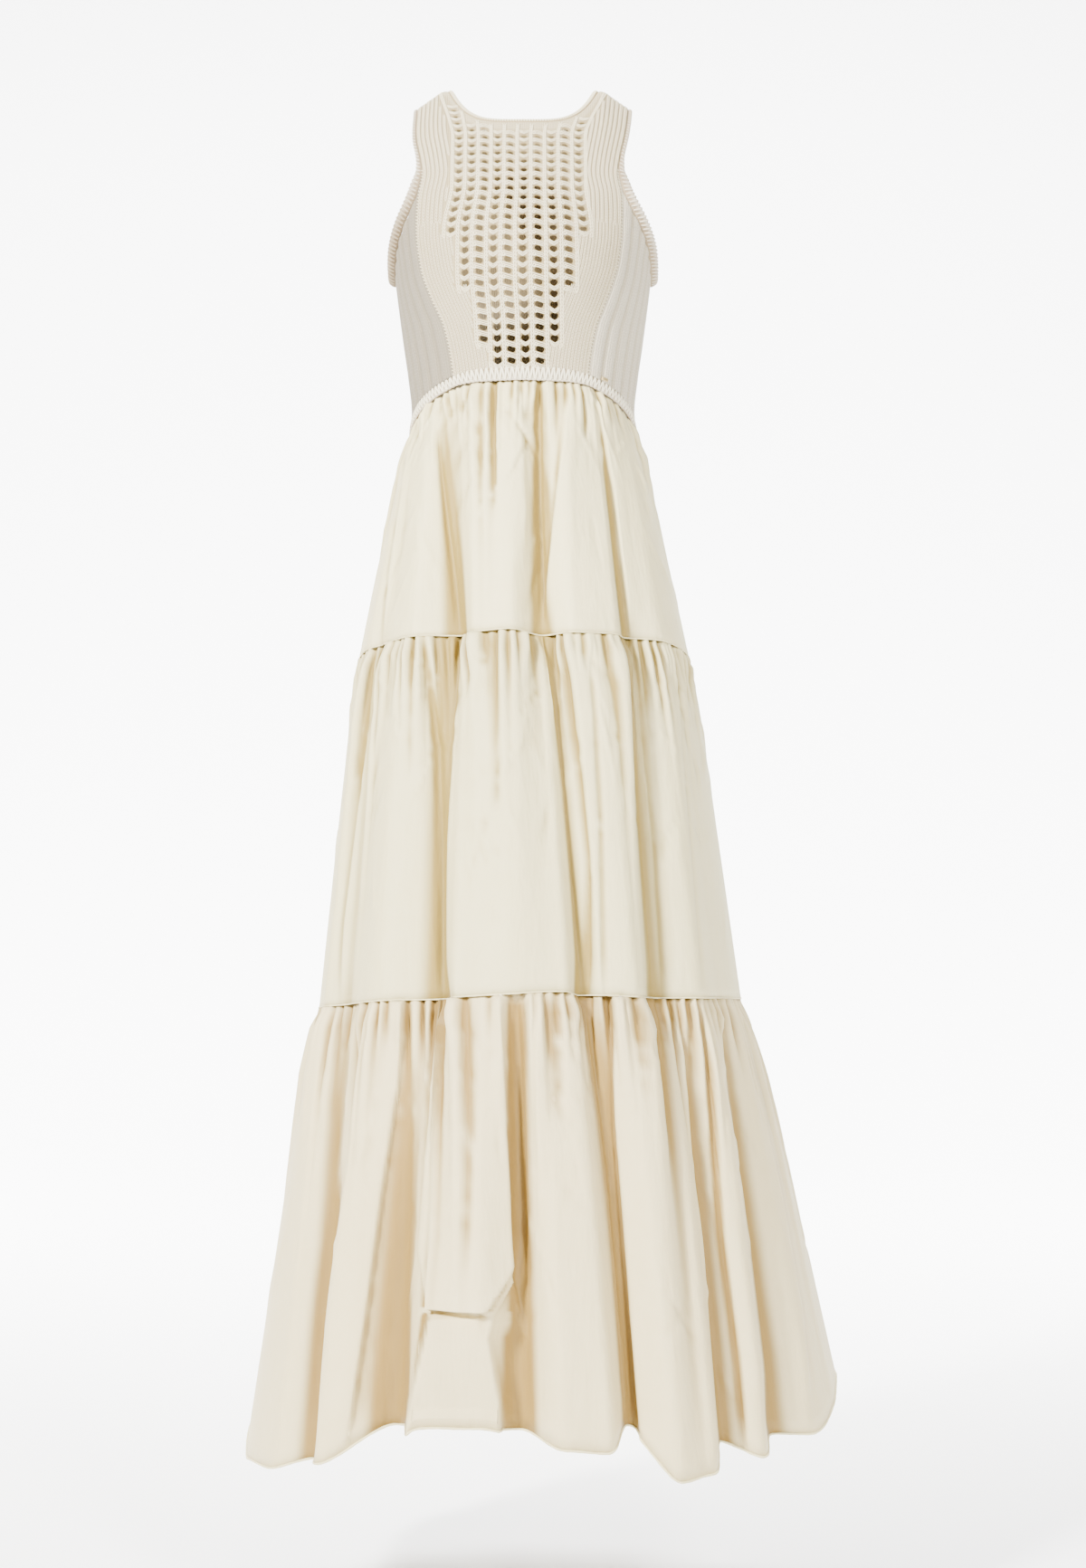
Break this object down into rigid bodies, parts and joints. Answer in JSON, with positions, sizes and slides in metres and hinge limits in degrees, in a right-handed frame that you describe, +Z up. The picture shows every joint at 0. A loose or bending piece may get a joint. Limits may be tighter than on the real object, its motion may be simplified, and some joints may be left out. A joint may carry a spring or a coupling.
{
  "type": "knit dress",
  "caption": "Sleeveless maxi dress in worn form: openwork knit bodice with ribbed sides and an overcast arched waist, over a gathered, tiered woven cotton skirt.",
  "frame": {"origin": "on the shoulder line, midway between the two shoulder straps, where the wearer holds the dress up", "axes": "+Z up, -Y the way the front of the dress faces, +X towards the wearer's left"},
  "size_m": [0.6264, 0.581, 1.4499],
  "materials": {
    "knit": "matte cotton yarn, plain and openwork knit",
    "knit_rib": "matte cotton yarn, wide rib knit",
    "edging": "matte cotton yarn, overcast by hand",
    "tag": "polished pale gold metal",
    "poplin": "smooth cotton poplin with a soft sheen"
  },
  "bodies": {
    "root": {"bodice_front": "knit", "bodice_side_left": "knit_rib", "bodice_side_right": "knit_rib", "bodice_back": "knit_rib", "neck_edge": "edging", "armhole_edge_left": "edging", "armhole_edge_right": "edging", "waist_edge": "edging", "hem_tag": "tag", "tier_1_front": "poplin", "tier_1_back": "poplin", "tier_2_front": "poplin", "tier_2_back": "poplin", "tier_3_front": "poplin", "tier_3_back": "poplin"}
  },
  "joints": []
}
